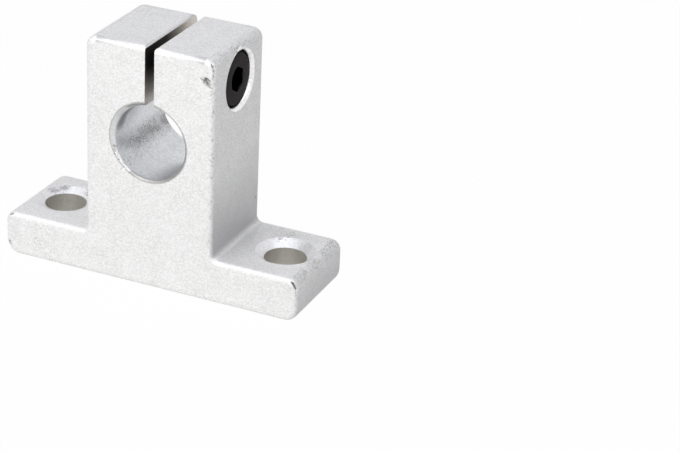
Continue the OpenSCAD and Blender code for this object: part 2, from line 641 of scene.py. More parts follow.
@dataclass(frozen=True)
class BlackOxideSteel(Metal):
    """Steel with a black oxide skin, worn a little brighter on its edges."""

    name: str = "black_oxide_steel_finish"
    metallic: float = 0.05
    roughness: float = 0.5
    colour: Colour = (0.011, 0.008, 0.009)
    worn_colour: Colour = (0.045, 0.036, 0.038)
    socket_shade_colour: Colour = (0.001, 0.001, 0.001)
    fleck: float = 0.5
    rubbed: float = 0.35
    gloss: float = 0.06
    speck: float = 0.2 * MM
    pit: float = 0.16 * MM
    depth: float = 0.006 * MM

    def look(self, sheet: NodeSheet, effects: Effects, place: Term) -> dict[str, Term]:
        """Grain and worn edges, and a dull black painted shade inside the socket.

        Args:
            sheet: The material's nodes.
            effects: The shared node groups.
            place: Where on the object the shader looks.

        Returns:
            The terms, by input.
        """
        edge, hollow = sheet.attributes("edge", "hollow")
        grain = sheet.group(effects.shot_grain, {"Vector": place, "Pit Size": self.pit})
        inputs = {"Vector": place, "Edge": edge, "Speck Size": self.speck}
        rub = sheet.group(effects.rubbed_edge, inputs)
        layers = [
            (grain["Fleck"], self.fleck, self.worn_colour),
            (rub["Bright"], self.rubbed, self.worn_colour),
            # Painted shade in the hexagon socket.
            (hollow, 1.0, self.socket_shade_colour),
        ]
        smooth, rough = self.roughness * 0.85, self.roughness * 1.2
        return {
            "Base Color": sheet.layered(self.colour, layers),
            "Specular IOR Level": sheet.mix(hollow, self.gloss, 0.0),
            "Roughness": sheet.mix(grain["Cloud"], smooth, rough),
            "Normal": sheet.bump(grain["Height"], self.depth),
        }


# ------------------------------------------------------------------ Mesh work


def placed(name: str, data: bpy.types.ID) -> Piece:
    """Puts a mesh, a lamp or a camera into the scene, at the origin and unturned.

    Args:
        name: The name of the object and of its data.
        data: The mesh, lamp or camera.

    Returns:
        The object.
    """
    data.name = name
    item = bpy.data.objects.new(name, data)
    bpy.context.scene.collection.objects.link(item)
    return item


def baked(item: Piece) -> Mesh:
    """Makes a plain mesh of an object and removes the object.

    Args:
        item: The object, with its modifiers live.

    Returns:
        Its mesh with the modifiers applied.
    """
    graph = bpy.context.evaluated_depsgraph_get()
    mesh = bpy.data.meshes.new_from_object(item.evaluated_get(graph))
    item.modifiers.clear()
    bpy.data.objects.remove(item)
    return mesh


def grown(tree: Tree, inputs: dict[str, object], start: Mesh | None = None) -> Mesh:
    """Runs a geometry tree once and returns what it made as a plain mesh.

    Args:
        tree: The geometry tree.
        inputs: Values of its inputs, by name.
        start: The mesh that goes in, if the tree works on one.

    Returns:
        The new mesh.
    """
    holder = placed(tree.name, start or bpy.data.meshes.new(tree.name))
    modifier = holder.modifiers.new(tree.name, "NODES")
    modifier.node_group = tree
    for item in tree.interface.items_tree:
        if item.in_out == "INPUT" and item.name in inputs:
            modifier[item.identifier] = inputs[item.name]
    return baked(holder)


def without(mesh: Mesh, tool: Mesh) -> Mesh:
    """The mesh with the tool's volume cut out of it.

    Args:
        mesh: The closed mesh to cut.
        tool: The closed mesh that cuts.

    Returns:
        A new mesh.
    """
    work, cutter = (placed(m.name, m) for m in (mesh, tool))
    modifier = work.modifiers.new("cut", "BOOLEAN")
    modifier.object = cutter
    modifier.solver = "EXACT"
    result = baked(work)
    bpy.data.objects.remove(cutter)
    return result


def as_mesh(bm: BMesh, name: str) -> Mesh:
    """Turns a bmesh into a new mesh and frees it.

    Args:
        bm: The bmesh.
        name: The new mesh's name.

    Returns:
        The new mesh.
    """
    mesh = bpy.data.meshes.new(name)
    bm.to_mesh(mesh)
    bm.free()
    return mesh


def welded(mesh: Mesh) -> BMesh:
    """A bmesh of the mesh, with the points that touch made one.

    Args:
        mesh: The mesh, which stays as it is.

    Returns:
        The bmesh.
    """
    bm = bmesh.new()
    bm.from_mesh(mesh)
    bmesh.ops.remove_doubles(bm, verts=bm.verts, dist=WELD)
    return bm


def cone(low: float, high: float, segments: int, place: Matrix) -> Mesh:
    """A closed cone of 45 degrees that opens along Z from one radius to another.

    Args:
        low: Its smaller radius.
        high: Its larger radius.
        segments: How many sides it has.
        place: Where its middle goes.

    Returns:
        The mesh.
    """
    bm = bmesh.new()
    bmesh.ops.create_cone(
        bm,
        segments=segments,
        cap_ends=True,
        radius1=low,
        radius2=high,
        depth=high - low,
        matrix=place,
    )
    return as_mesh(bm, "cone")


def slice_faces(
    bm: BMesh, faces: list[bmesh.types.BMFace], axis: Axis, cuts: list[float]
) -> None:
    """Cuts faces along planes square to one axis, halving the list each time.

    Args:
        bm: The mesh.
        faces: The faces to cut.
        axis: The planes' axis.
        cuts: The planes' places on it, in rising order.
    """
    if not cuts or not faces:
        return
    along = axis.value[0]
    middle = len(cuts) // 2
    point, normal = Vector(), Vector()
    point[along], normal[along] = cuts[middle], 1.0
    edges = {edge for face in faces for edge in face.edges}
    verts = {vert for face in faces for vert in face.verts}
    cut = bmesh.ops.bisect_plane(
        bm, geom=[*faces, *edges, *verts], plane_co=point, plane_no=normal, dist=WELD
    )
    below: list[bmesh.types.BMFace] = []
    above: list[bmesh.types.BMFace] = []
    for face in cut["geom"]:
        if isinstance(face, bmesh.types.BMFace):
            side = face.calc_center_median()[along] < cuts[middle]
            (below if side else above).append(face)
    slice_faces(bm, below, axis, cuts[:middle])
    slice_faces(bm, above, axis, cuts[middle + 1 :])


def crease_sharp_edges(bm: BMesh, angle: float = math.radians(28)) -> None:
    """Makes every face smooth and every edge sharper than angle a hard one.

    Args:
        bm: The mesh.
        angle: The angle between two faces past which their edge stays hard.
    """
    for face in bm.faces:
        face.smooth = True
    for edge in bm.edges:
        edge.smooth = edge.calc_face_angle(0.0) < angle


def mark_outside_edges(
    bm: BMesh, full_bend: float, least_apart: float = 0.05 * MM
) -> None:
    """Writes the attribute edge: how strongly the surface bends outwards.

    Args:
        bm: The mesh.
        full_bend: The bend, in radians a metre, that counts as 1.
        least_apart: The least distance of two faces that the bend is taken over.
    """
    layer = bm.verts.layers.float.new("edge")
    bm.normal_update()
    for edge in bm.edges:
        if len(edge.link_faces) != 2:
            continue
        first, second = edge.link_faces
        apart = second.calc_center_median() - first.calc_center_median()
        if first.normal.dot(apart) > -1e-12:
            continue
        bend = edge.calc_face_angle(0.0) / max(apart.length, least_apart)
        share = min(1.0, bend / full_bend)
        for vert in edge.verts:
            vert[layer] = max(vert[layer], share)


def finish_shell(mesh: Mesh, place: Matrix) -> None:
    """Moves a closed shell into place and sets its normals and edges right.

    Args:
        mesh: The shell.
        place: Where it goes.
    """
    mesh.transform(place)
    bm = welded(mesh)
    bmesh.ops.recalc_face_normals(bm, faces=bm.faces)
    crease_sharp_edges(bm)
    mark_outside_edges(bm, full_bend=6.0 / MM)
    bm.to_mesh(mesh)
    bm.free()


def helical_ridge() -> Tree:
    """Geometry tree of one thread: a trapezoid swept round a helix on Z.

    Returns:
        The tree. It starts at Z 0 and climbs by Length. A Crest Radius under
        the Root Radius gives an inside thread.
    """
    names = ("Root Radius", "Crest Radius", "Pitch", "Length", "Root Width")
    ports = [Port(name) for name in (*names, "Crest Width", "Run Out Turns")]
    sheet = GroupSheet("helical_ridge", "GeometryNodeTree", [*ports, FINISH], [GEOMETRY])
    size = sheet.given
    turns = sheet.math("DIVIDE", size["Length"], size["Pitch"])
    helix = sheet.add(
        "GeometryNodeCurveSpiral",
        {
            "Resolution": 48,
            "Rotations": turns,
            "Start Radius": size["Root Radius"],
            "End Radius": size["Root Radius"],
            "Height": size["Length"],
        },
    )
    upright = sheet.add("GeometryNodeSetCurveNormal", {"Curve": helix}, mode="Z_UP")
    along = sheet.add("GeometryNodeSplineParameter", out="Factor")
    to_end = sheet.math("MINIMUM", along, sheet.math("SUBTRACT", 1.0, along))
    run_out = sheet.math("DIVIDE", sheet.times(to_end, turns), size["Run Out Turns"])
    fade = sheet.rise(run_out, -0.1, 1.0)
    path = sheet.add("GeometryNodeSetCurveRadius", {"Curve": upright, "Radius": fade})
    reach = sheet.math("SUBTRACT", size["Crest Radius"], size["Root Radius"])
    profile = sheet.add(
        "GeometryNodeCurvePrimitiveQuadrilateral",
        {
            "Height": sheet.times(reach, 1.1),
            "Bottom Width": size["Root Width"],
            "Top Width": size["Crest Width"],
            "Offset": 0.0,
        },
        mode="TRAPEZOID",
    )
    stand_off = sheet.add("ShaderNodeCombineXYZ", {0: sheet.times(reach, 0.45)})
    outwards = sheet.add(
        "GeometryNodeTransform",
        {
            "Geometry": profile,
            "Translation": stand_off,
            "Rotation": (0.0, 0.0, -math.pi / 2),
        },
    )
    swept = sheet.add(
        "GeometryNodeCurveToMesh",
        {"Curve": path, "Profile Curve": outwards, "Fill Caps": True},
    )
    return sheet.end({"Geometry": sheet.painted(sheet.real(swept), size["Finish"])})


# ------------------------------------------------------------------ The block


@dataclass(frozen=True)
class Knock:
    """A dent, chip or scratch from start to end, in millimetres."""

    start: Place
    end: Place
    width: float
    depth: float
    inwards: Place = (0, 1, 0)
    dirt: float = 0.7


@dataclass(frozen=True)
class Strip:
    """A strip from start to end, in millimetres, with marks that fade out.

    Specks lie on every kind of face. The stain_and_shade on the machined ones is partly real staining and mostly
    painted shade and dark reflection, and the shade on the blasted ones that look towards +X is painted shade.
    """

    start: Place
    end: Place
    width: float
    specks: float = 0.0
    stain_and_shade: float = 0.0
    shade: float = 0.0


KNOCK_REACH = 1.6  # a knock's ragged outline stays within this many widths
RAGGED = (5000.0, 12000.0)  # lumps a metre in a knock's outline

KNOCKS = (
    # The dent and the scratches by the front face's upper right corner.
    Knock((7.06, -7.0, 30.2), (7.45, -7.0, 29.8), 0.15, 0.05, dirt=0.45),
    Knock((7.45, -7.0, 29.8), (7.68, -7.0, 30.3), 0.2, 0.1, dirt=0.65),
    Knock((7.68, -7.0, 30.3), (7.9, -7.0, 30.32), 0.18, 0.12, dirt=0.75),
    Knock((7.9, -7.0, 30.32), (8.22, -7.0, 30.12), 0.17, 0.1, dirt=0.7),
    Knock((7.68, -7.0, 30.05), (7.95, -7.0, 29.65), 0.22, 0.12, dirt=0.8),
    Knock((7.95, -7.0, 29.65), (8.24, -7.0, 29.28), 0.14, 0.07, dirt=0.5),
    Knock((8.1, -7.0, 29.3), (8.6, -6.98, 29.22), 0.1, 0.05, dirt=0.5),
    Knock((7.62, -7.0, 30.1), (7.95, -7.0, 29.75), 0.5, 0.04, dirt=0.5),
    Knock((7.5, -7.0, 31.25), (7.6, -7.0, 31.2), 0.12, 0.03, dirt=0.2),
    Knock((7.9, -7.0, 31.15), (7.95, -7.0, 31.05), 0.12, 0.03, dirt=0.25),
    # Chips down the upright's front right edge.
    Knock((8.39, -6.95, 32.3), (8.57, -6.93, 31.95), 0.13, 0.08, (-1, 1, -1), 0.7),
    Knock((8.63, -6.92, 31.6), (8.72, -6.9, 31.35), 0.11, 0.06, (-1, 1, 0), 0.5),
    Knock((8.68, -6.9, 31.05), (8.7, -6.9, 30.7), 0.11, 0.05, (-1, 1, 0), 0.4),
    Knock((8.5, -7.0, 28.45), (8.4, -7.0, 28.2), 0.1, 0.04, dirt=0.3),
    Knock((8.75, -6.85, 26.3), (8.8, -6.83, 25.9), 0.09, 0.05, (-1, 1, 0), 0.35),
    Knock((8.7, -6.87, 22.5), (8.72, -6.87, 22.2), 0.09, 0.05, (-1, 1, 0), 0.35),
    # Chips at the corners of both feet.
    Knock((-20.45, -6.85, 5.5), (-19.9, -6.85, 5.75), 0.14, 0.08, (1, 1, -1), 0.7),
    Knock((-20.45, -6.9, 1.7), (-20.25, -6.9, 1.35), 0.17, 0.1, dirt=0.7),
    Knock((20.0, -6.93, 5.75), (20.3, -6.9, 5.5), 0.13, 0.08, (-0.5, 1, -1), 0.8),
    Knock((20.3, -6.9, 5.5), (20.62, -6.88, 4.95), 0.14, 0.1, (-1, 1, -0.5), 0.85),
    Knock((20.3, -6.88, 5.8), (20.6, -6.82, 5.65), 0.08, 0.04, (-0.5, 1, -1), 0.5),
    Knock((20.65, -6.88, 4.9), (20.7, -6.86, 3.8), 0.08, 0.04, (-1, 1, 0), 0.35),
    # Nicks round the bore's mouth.
    Knock((-5.1, -6.95, 18.1), (-4.85, -6.95, 17.65), 0.12, 0.08, dirt=0.8),
    Knock((-4.35, -6.95, 16.95), (-4.1, -6.95, 16.65), 0.12, 0.08, dirt=0.8),
    Knock((-3.7, -6.95, 16.2), (-3.4, -6.95, 15.95), 0.11, 0.08, dirt=0.8),
    Knock((-2.8, -6.95, 15.55), (-2.5, -6.95, 15.4), 0.1, 0.06, dirt=0.6),
    # One on the left foot and one on the upright's side.
    Knock((-19.5, 0.8, 6.0), (-19.2, 1.1, 6.0), 0.2, 0.04, (0, 0, -1), 0.4),
    Knock((9.0, 5.2, 9.8), (9.0, 5.7, 9.6), 0.13, 0.05, (-1, 0, 0), 0.4),
)

STRIPS = (
    # Specks along the rounded edges and on the feet.
    Strip((8.7, -6.6, 32.5), (8.7, 6.8, 32.5), 1.0, specks=0.6),
    # This strip also paints shade on the upright's top edge, towards +X.
    Strip((8.4, -4.0, 32.6), (8.6, 1.0, 32.5), 1.3, specks=0.7, shade=0.3),
    Strip((8.7, -6.8, 32.0), (8.7, -6.8, 8.0), 0.6, specks=0.5),
    Strip((20.5, -6.8, 5.6), (20.4, 5.6, 5.8), 1.4, specks=0.9),
    Strip((20.9, -6.8, 5.0), (20.9, -6.8, 1.6), 0.5, specks=0.4),
    Strip((-16.5, -7.0, 2.7), (-14.3, -7.0, 0.9), 1.2, specks=0.35),
    Strip((-8.9, -6.8, 32.4), (8.9, -6.8, 32.4), 0.4, specks=0.3),
    Strip((13.0, 3.6, 6.0), (14.6, 4.6, 6.0), 1.6, specks=1.0),
    Strip((15.5, 4.8, 6.0), (19.5, 4.4, 6.0), 1.2, specks=0.5),
    Strip((-19.0, 1.7, 5.8), (-17.8, 3.2, 5.8), 0.9, specks=1.0, stain_and_shade=0.5),
    Strip((-14.6, 3.4, 5.8), (-13.4, 2.6, 5.8), 0.8, specks=1.0),
    # Painted shade and dark reflection down the left and right sides of the two mounting holes' walls.
    Strip((13.4, -0.9, 4.0), (13.4, -0.9, 1.0), 1.1, stain_and_shade=1.1),
    Strip((18.6, 1.0, 4.0), (18.6, 1.0, 1.0), 1.0, stain_and_shade=1.8),
    Strip((-18.6, -0.9, 4.0), (-18.6, -0.9, 1.0), 1.1, stain_and_shade=1.6),
    Strip((-13.4, 1.0, 4.0), (-13.4, 1.0, 1.0), 1.0, stain_and_shade=1.4),
    # Painted shade that rises from the floor on the faces towards +X.
    Strip((21.0, 7.0, 0.0), (21.0, -7.0, -1.0), 7.0, shade=0.8),
    Strip((9.0, -7.0, 5.0), (9.0, 7.0, 6.0), 12.5, shade=0.95),
    # Inside the bore: specks, and stains that are partly real and mostly painted shade and dark reflections.
    Strip((-4.8, -5.3, 21.4), (-4.0, -5.2, 23.0), 1.5, stain_and_shade=1.4),
    Strip((-4.0, -5.2, 23.0), (-2.4, -4.6, 24.4), 1.9, stain_and_shade=1.4),
    Strip((-4.0, -5.2, 23.0), (-3.0, -2.5, 24.0), 1.9, stain_and_shade=1.2),
    Strip((-4.5, -2.5, 17.8), (-4.4, 6.6, 17.6), 1.9, specks=1.1, stain_and_shade=0.55),
    Strip((-4.8, -5.4, 18.6), (-4.5, -2.5, 17.8), 1.4, specks=0.5, stain_and_shade=0.5),
    Strip((-3.3, -6.8, 16.2), (-4.0, 2.0, 17.0), 1.6, specks=0.35),
    Strip((2.3, -6.8, 15.5), (2.3, -2.5, 15.5), 3.0, stain_and_shade=0.75),
    # Round the bore's mouth: specks, and painted shade along its rim.
    Strip((-2.9, -6.9, 24.6), (-1.0, -6.9, 25.2), 0.8, stain_and_shade=0.9),
    Strip((-4.9, -6.9, 18.6), (-2.2, -6.9, 15.6), 0.6, specks=1.0),
    Strip((5.1, -6.9, 22.5), (5.15, -6.9, 19.0), 0.8, stain_and_shade=1.3),
    Strip((5.1, -6.9, 19.2), (3.2, -6.9, 15.9), 0.8, stain_and_shade=1.3),
    Strip((3.3, -7.0, 16.1), (1.8, -7.0, 15.2), 0.5, specks=0.6, stain_and_shade=1.5),
    Strip((1.8, -7.0, 15.2), (0.0, -7.0, 14.9), 0.5, specks=0.6, stain_and_shade=1.5),
    Strip((0.0, -7.0, 14.9), (-2.4, -7.0, 15.5), 0.5, specks=0.8, stain_and_shade=1.3),
    # Painted shade at the front end of the saw cut, darkest at its top.
    Strip((-0.65, -7.0, 32.5), (-0.65, -4.0, 32.5), 8.0, stain_and_shade=1.5),
)


def distances(spots: np.ndarray, start: Place, end: Place) -> np.ndarray:
    """How far each spot is from the line between two places.

    Args:
        spots: The spots, one a row.
        start: Where the line starts.
        end: Where it ends.

    Returns:
        The distances, in the spots' unit.
    """
    first, run = np.array(start), np.subtract(end, start)
    along = np.clip((spots - first) @ run / (run @ run), 0.0, 1.0)
    return np.linalg.norm(spots - first - along[:, None] * run, axis=1)


@dataclass
class SupportBlock:
    """The aluminium block: base, split upright, bore and screw holes."""

    bore_axis: Vector
    bore_radius: float
    screw_axis: Vector
    hole_pitch: float
    half_size: Vector
    front_mouth_radius: float = FRONT_MOUTH * MM
    front_mouth_shift: tuple[float, float] = (SHIFT_X * MM, SHIFT_Z * MM)
    back_mouth_radius: float = 5.85 * MM
    lead_in_reach: float = 1.0 * MM
    sink_radius: float = 3.9 * MM
    slot_width: float = 1.3 * MM
    counterbore_radius: float = 3.65 * MM
    counterbore_spare: float = 0.6 * MM
    counterbore_floor: float = 4.6 * MM
    counterbore_chamfer: float = 0.4 * MM
    upright_width: float = 18.0 * MM
    tap_radius: float = 2.0 * MM
    tap_crest_radius: float = 1.65 * MM
    tap_sink: float = 0.4 * MM
    grid: float = 0.4 * MM
    lump: float = 0.9 * MM
    face_relief: float = 0.012 * MM
    edge_relief: float = 0.05 * MM

    @classmethod
    def from_frame(cls) -> "SupportBlock":
        """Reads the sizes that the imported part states."""
        low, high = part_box("block")
        mounts = {m["name"]: m for m in frame["record"]["mounts"]}
        clamp, bolts = mounts["shaft_clamp"], mounts["base_bolts"]["dims"]
        return cls(
            bore_axis=Vector(clamp["pos_m"]),
            bore_radius=clamp["dims"]["r_mm"] * MM,
            screw_axis=Vector(frame["joints"][0]["pos_m"]),
            hole_pitch=bolts["spacing_x_mm"] * MM,
            half_size=(high - low) / 2,
        )

    def face_kind(self, centre: Vector, normal: Vector) -> Face:
        """Tells how a face was made, from where it is and how it faces.

        Args:
            centre: The face's middle.
            normal: Its normal.

        Returns:
            Its kind.
        """
        slack, inside, straight = 0.03 * MM, 0.3, 0.9
        in_slot = abs(centre.x) < self.slot_width / 2 + slack and abs(normal.x) > 0.99
        if in_slot and centre.z > self.bore_axis.z:
            return Face.SAWN
        out = Vector((centre.x, 0.0, centre.z - self.bore_axis.z))
        inwards = -normal.dot(out.normalized())
        if out.length < self.bore_radius + self.lead_in_reach and inwards > inside:
            return Face.BORED if inwards > straight else Face.CHAMFERED
        out = Vector((0.0, centre.y, centre.z - self.screw_axis.z))
        inwards = -normal.dot(out.normalized())
        mouth = self.counterbore_radius + self.counterbore_chamfer + slack
        under_skin = abs(centre.x) < self.upright_width / 2 - slack
        if out.length < mouth and (inwards > inside or under_skin):
            return Face.COUNTERBORED
        side = math.copysign(1.0, centre.x)
        out = Vector((centre.x - side * self.hole_pitch / 2, centre.y, 0.0))
        inwards = -normal.dot(out.normalized())
        if out.length < self.sink_radius + slack and inwards > inside:
            return Face.DRILLED if inwards > straight else Face.CHAMFERED
        return Face.BLASTED

    def lead_in(self, mouth: Vector, radius: float) -> Mesh:
        """The cutter of a lead-in at one mouth of the bore.

        Args:
            mouth: The middle of the mouth.
            radius: The mouth's radius.

        Returns:
            A cone along Y, which is widest outside the block.
        """
        turn = Matrix.Rotation(math.copysign(math.pi / 2, -mouth.y), 4, "X")
        low, high = radius - self.lead_in_reach, radius + self.lead_in_reach
        return cone(low, high, 128, Matrix.Translation(mouth) @ turn)

    def fine_copy(self) -> BMesh:
        """A copy of the CAD solid with its real lead-ins, on a fine grid."""
        edge, height = self.half_size.y, self.bore_axis.z
        shift_x, shift_z = self.front_mouth_shift
        front = Vector((shift_x, -edge, height + shift_z))
        back = Vector((0.0, edge, height))
        solid = frame["nodes"]["block"].data
        solid = without(solid, self.lead_in(front, self.front_mouth_radius))
        solid = without(solid, self.lead_in(back, self.back_mouth_radius))
        bm = welded(solid)
        bmesh.ops.dissolve_limit(bm, angle_limit=0.002, verts=bm.verts, edges=bm.edges)
        low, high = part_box("block")
        for axis in Axis:
            along = axis.value[0]
            count = round((high[along] - low[along]) / self.grid)
            cuts = np.linspace(low[along], high[along], count + 1)[1:-1]
            slice_faces(bm, bm.faces[:], axis, cuts.tolist())
        self.close_round_head(bm)
        return bm

    def close_round_head(self, bm: BMesh) -> None:
        """Narrows the counterbore to the screw's head and chamfers its mouth.

        Args:
            bm: The block's mesh.
        """
        face_x = self.upright_width / 2
        for vert in bm.verts:
            out = Vector((0.0, vert.co.y, vert.co.z - self.screw_axis.z))
            if out.length > self.counterbore_radius + self.counterbore_spare:
                continue
            if not self.counterbore_floor - 1e-6 < vert.co.x < face_x + 1e-6:
                continue
            flare = max(0.0, vert.co.x - face_x + self.counterbore_chamfer)
            reach = self.counterbore_radius + flare
            if out.length > reach:
                vert.co += out.normalized() * (reach - out.length)

    @staticmethod
    def refine(bm: BMesh, knocks: Sequence[Knock]) -> None:
        """Divides the mesh three times where the knocks fall.

        Args:
            bm: The block's mesh.
            knocks: The dents, chips and scratches.
        """
        for _ in range(3):
            spots = np.array([vert.co for vert in bm.verts]) / MM
            near = np.zeros(len(spots), dtype=bool)
            for knock in knocks:
                apart = distances(spots, knock.start, knock.end)
                near |= apart < knock.width * KNOCK_REACH
            hit = [vert for vert, inside in zip(bm.verts, near) if inside]
            edges = {edge for vert in hit for edge in vert.link_edges}
            bmesh.ops.subdivide_edges(bm, edges=list(edges), cuts=1, use_grid_fill=True)

    @staticmethod
    def strike(bm: BMesh, knocks: Sequence[Knock]) -> None:
        """Presses the knocks into the mesh and marks them in the attribute knock.

        Args:
            bm: The block's mesh.
            knocks: The dents, chips and scratches.
        """
        layer = bm.verts.layers.float.new("knock")
        spots = np.array([vert.co for vert in bm.verts]) / MM
        verts = bm.verts[:]
        for knock in knocks:
            apart = distances(spots, knock.start, knock.end)
            push = Vector(knock.inwards).normalized() * knock.depth * MM
            for place in np.flatnonzero(apart < knock.width * KNOCK_REACH):
                vert = verts[place]
                ragged = sum(noise.noise(vert.co * lumps) for lumps in RAGGED)
                reach = knock.width * (1.0 + 0.5 * ragged)
                share = 1.0 - float(apart[place]) / reach
                if share > 0.0:
                    vert.co += push * min(1.0, share * 2.0) * (1.0 + 0.4 * ragged)
                    vert[layer] = max(vert[layer], min(1.0, share * 2.5) * knock.dirt)

    @staticmethod
    def stain_and_shade(bm: BMesh, strips: Sequence[Strip]) -> None:
        """Writes the attributes scuff, stain_and_shade and shade from the strips.

        Args:
            bm: The block's mesh.
            strips: Where specks, stains and painted shades lie.
        """
        bm.normal_update()
        spots = np.array([vert.co for vert in bm.verts]) / MM
        sideways = np.clip([2.0 * vert.normal.x - 1.0 for vert in bm.verts], 0.0, 1.0)
        masks = {name: np.zeros(len(spots)) for name in ("scuff", "stain_and_shade", "shade")}
        for strip in strips:
            apart = distances(spots, strip.start, strip.end)
            share = np.clip(1.0 - apart / strip.width, 0.0, 1.0)
            strengths = (strip.specks, strip.stain_and_shade, strip.shade)
            for name, strength in zip(masks, strengths):
                masks[name] = np.maximum(masks[name], np.minimum(1.0, share * strength))
        # The painted shade falls only on faces that look towards +X.
        masks["shade"] *= sideways
        for name, mask in masks.items():
            layer = bm.verts.layers.float.new(name)
            for vert, value in zip(bm.verts, mask.tolist()):
                vert[layer] = value

    @staticmethod
    def relief_tree() -> Tree:
        """Geometry tree that sinks blasting relief into a fine mesh.

        Returns:
            The tree. It only moves points inwards, so the block keeps its
            outside size, and it ends by giving each kind of face its finish.
        """
        finishes = [Port(f"{kind.name} Finish", FINISH.kind) for kind in Face]
        sizes = map(Port, ("Lump Size", "Face Depth", "Edge Depth"))
        ports = [GEOMETRY, *sizes, *finishes]
        sheet = GroupSheet("blasting_relief", "GeometryNodeTree", ports, [GEOMETRY])
        size = sheet.given
        edge, kind = (
            sheet.add(
                "GeometryNodeInputNamedAttribute", {"Name": name}, data_type=data_type
            )
            for name, data_type in (("edge", "FLOAT"), ("kind", "INT"))
        )
        blasted = sheet.equals(kind, Face.BLASTED.value)
        place = sheet.add("GeometryNodeInputPosition")
        lumps = sheet.noise(sheet.counted(place, size["Lump Size"]), 1.0, 3.0)
        depth = sheet.mix(edge, size["Face Depth"], size["Edge Depth"])
        sunk = sheet.times(sheet.times(lumps, depth), sheet.times(blasted, -1.0))
        offset = sheet.scaled(sheet.add("GeometryNodeInputNormal"), sunk)
        inputs = {"Geometry": size["Geometry"], "Offset": offset}
        last = sheet.real(sheet.add("GeometryNodeSetPosition", inputs))
        for member, finish in zip(Face, finishes):
            where = sheet.equals(kind, member.value)
            last = sheet.painted(last, size[finish.name], where)
        return sheet.end({"Geometry": last})

    def build(self, finishes: dict[Face, Material]) -> Piece:
        """Builds the block and puts it on its body.

        Args:
            finishes: The material of each kind of face.

        Returns:
            The piece.
        """
        bm = self.fine_copy()
        crease_sharp_edges(bm)
        mark_outside_edges(bm, full_bend=2.0 / MM)
        self.refine(bm, KNOCKS)
        self.strike(bm, KNOCKS)
        self.stain_and_shade(bm, STRIPS)
        kinds = bm.faces.layers.int.new("kind")
        bm.normal_update()
        for face in bm.faces:
            face[kinds] = self.face_kind(face.calc_center_median(), face.normal).value
        bmesh.ops.triangulate(bm, faces=[f for f in bm.faces if len(f.verts) > 4])
        inputs: dict[str, object] = {
            "Lump Size": self.lump,
            "Face Depth": self.face_relief,
            "Edge Depth": self.edge_relief,
        }
        inputs |= {f"{kind.name} Finish": finishes[kind] for kind in Face}
        mesh = grown(self.relief_tree(), inputs, as_mesh(bm, "block_start"))
        piece = placed("blasted_block", mesh)
        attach(piece, "support")
        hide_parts("block")
        return piece

    def build_tapped_thread(self, ridge: Tree, finish: Material, tip_x: float) -> Piece:
        """Builds the thread that shows in the tapped hole beyond the screw.

        Args:
            ridge: The tree that sweeps a thread.
            finish: Its material.
            tip_x: Where the screw ends.

        Returns:
            The piece.
        """
        clear, set_back = 0.1 * MM, 0.3 * MM
        mouth = -self.upright_width / 2 + self.tap_sink
        mesh = grown(
            ridge,
            {
                "Root Radius": self.tap_radius,
                "Crest Radius": self.tap_crest_radius,
                "Pitch": 0.7 * MM,
                "Length": tip_x - clear - set_back - mouth,
                "Root Width": 0.6 * MM,
                "Crest Width": 0.16 * MM,
                "Run Out Turns": 0.4,
                "Finish": finish,
            },
        )
        place = Matrix.Translation((mouth + set_back, 0.0, self.screw_axis.z))
        finish_shell(mesh, place @ Matrix.Rotation(math.pi / 2, 4, "Y"))
        piece = placed("tapped_thread", mesh)
        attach(piece, "support")
        return piece


# ------------------------------------------------------------ The clamp screw


